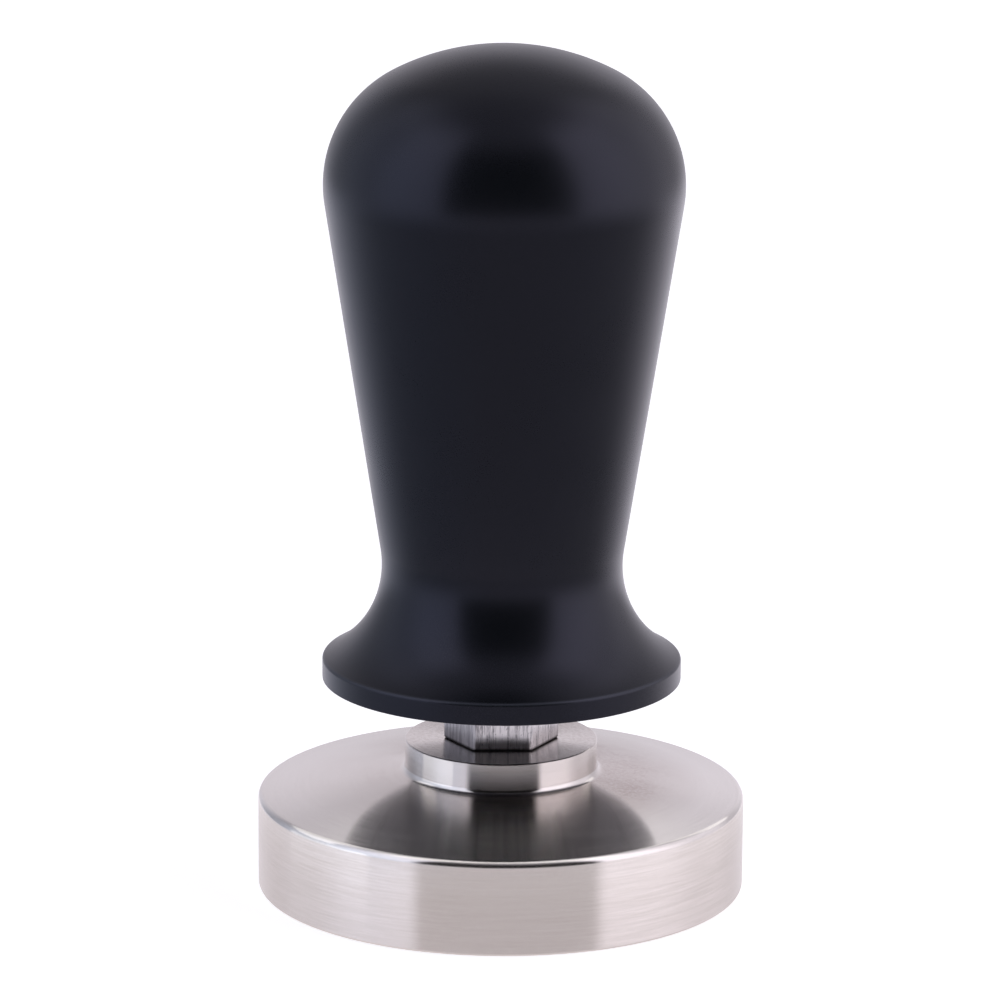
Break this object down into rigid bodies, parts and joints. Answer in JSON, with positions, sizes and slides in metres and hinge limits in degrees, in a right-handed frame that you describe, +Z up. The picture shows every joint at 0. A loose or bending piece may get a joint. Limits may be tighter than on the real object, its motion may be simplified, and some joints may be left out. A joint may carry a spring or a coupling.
{
  "type": "espresso tamper",
  "caption": "Espresso tamper: a domed black handle slides down a hexagonal steel stem against a hidden spring, over a flat round steel base with a short collar.",
  "frame": {"origin": "centre of the flat tamping face, at the bottom of the base", "axes": "+Z up the tamper's axis, from the tamping face to the handle's dome; +X and +Y lie in the tamping face, and one flat of the hexagonal stem faces -Y to within 1.5 degrees"},
  "size_m": [0.058, 0.058, 0.1011],
  "materials": {
    "turned_steel": "bright turned stainless steel with fine circular tool lines",
    "drawn_steel": "drawn stainless bar with fine lengthwise scratches",
    "black_anodised": "satin black anodised aluminium",
    "plated_steel": "bright zinc plating",
    "spring_steel": "drawn spring wire, lightly oiled",
    "black_fastener": "black oxide",
    "polymer": "natural acetal",
    "rubber": "matt black rubber"
  },
  "bodies": {
    "base": {"base_plate": "turned_steel", "base_stud": "black_fastener", "hex_stem": "drawn_steel", "stop_washer": "plated_steel", "lock_washer": "plated_steel", "stop_screw": "black_fastener", "pressure_spring": "spring_steel"},
    "handle": {"handle_shell": "black_anodised", "guide_plug": "black_anodised", "guide_bush": "polymer", "plug_screw_1": "black_fastener", "plug_screw_2": "black_fastener", "plug_screw_3": "black_fastener", "return_cushion": "rubber", "spring_seat": "plated_steel", "calibration_shim": "plated_steel"}
  },
  "joints": [
    {"name": "handle_press", "type": "slide", "parent": "base", "child": "handle", "axis": [0, 0, -1], "range_m": [0, 0.0073], "stiffness_N_per_m": 9470, "springref_m": -0.0068, "deforming": ["pressure_spring"]}
  ]
}
